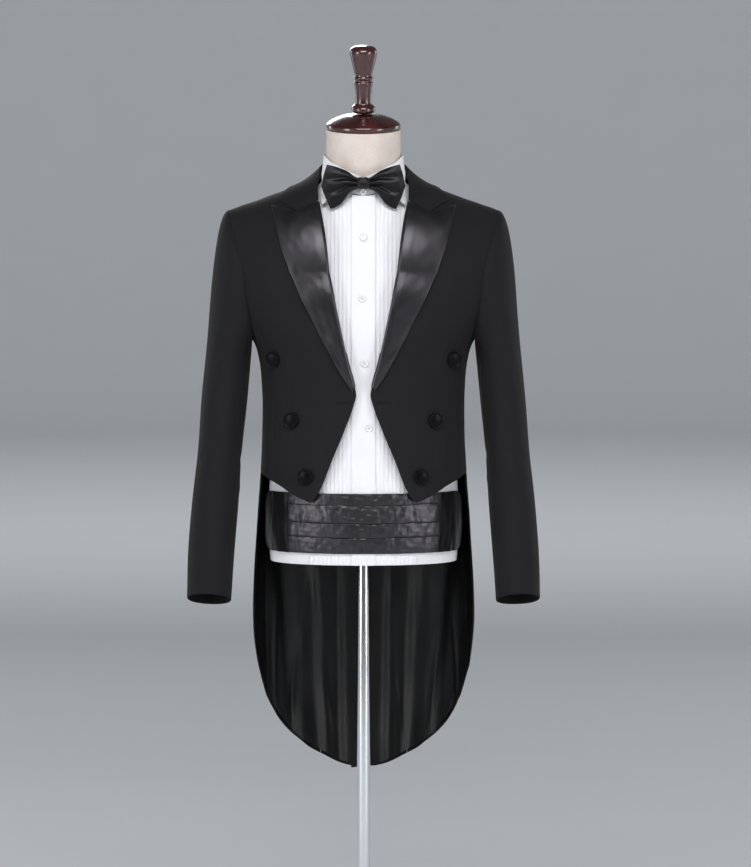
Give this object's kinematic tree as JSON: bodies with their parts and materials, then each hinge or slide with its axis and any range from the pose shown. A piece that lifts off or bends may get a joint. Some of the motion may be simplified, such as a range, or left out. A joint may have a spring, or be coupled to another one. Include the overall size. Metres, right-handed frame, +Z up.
{
  "type": "tuxedo on dress form",
  "caption": "Black evening tailcoat with satin peak lapels, white pleated shirt, bow tie and cummerbund, worn by a limbless dress form on a round-based stand.",
  "frame": {"origin": "centre of the base's underside, on the floor", "axes": "+Z up along the pole; -Y is the clothes' front, +Y their back; +X is the wearer's left"},
  "size_m": [0.5628, 0.38, 1.6392],
  "materials": {
    "wool": "matt black wool",
    "satin": "black satin",
    "lining": "dark satin lining",
    "cotton": "white cotton",
    "pearl": "pearly white",
    "linen": "cream linen over a firm form",
    "wood": "glossy dark red lacquer",
    "chrome": "polished",
    "base_metal": "satin black"
  },
  "bodies": {
    "root": {"base": "base_metal", "bow_knot": "satin", "bow_wing_left": "satin", "bow_wing_right": "satin", "coat_back_left": "wool", "coat_back_right": "wool", "coat_button_left_1": "satin", "coat_button_left_2": "satin", "coat_button_left_3": "satin", "coat_button_right_1": "satin", "coat_button_right_2": "satin", "coat_button_right_3": "satin", "coat_collar": "wool", "coat_collar_stand": "wool", "coat_front_left": "wool", "coat_front_right": "wool", "coat_side_left": "wool", "coat_side_right": "wool", "coat_skirt_left": "wool", "coat_skirt_right": "wool", "cummerbund_front": "satin", "cummerbund_side_left": "satin", "cummerbund_side_right": "satin", "cummerbund_strap": "satin", "finial": "wood", "form_torso": "linen", "lapel_left": "satin", "lapel_right": "satin", "neck_cap": "wood", "pole": "chrome", "shirt_back": "cotton", "shirt_button_1": "pearl", "shirt_button_2": "pearl", "shirt_button_3": "pearl", "shirt_button_4": "pearl", "shirt_button_5": "pearl", "shirt_collar_leaf": "cotton", "shirt_collar_stand": "cotton", "shirt_front_left": "cotton", "shirt_front_right": "cotton", "shirt_placket": "cotton", "sleeve_top_left": "wool", "sleeve_top_right": "wool", "sleeve_under_left": "wool", "sleeve_under_right": "wool", "tail_lining_left": "lining", "tail_lining_right": "lining"}
  },
  "joints": []
}
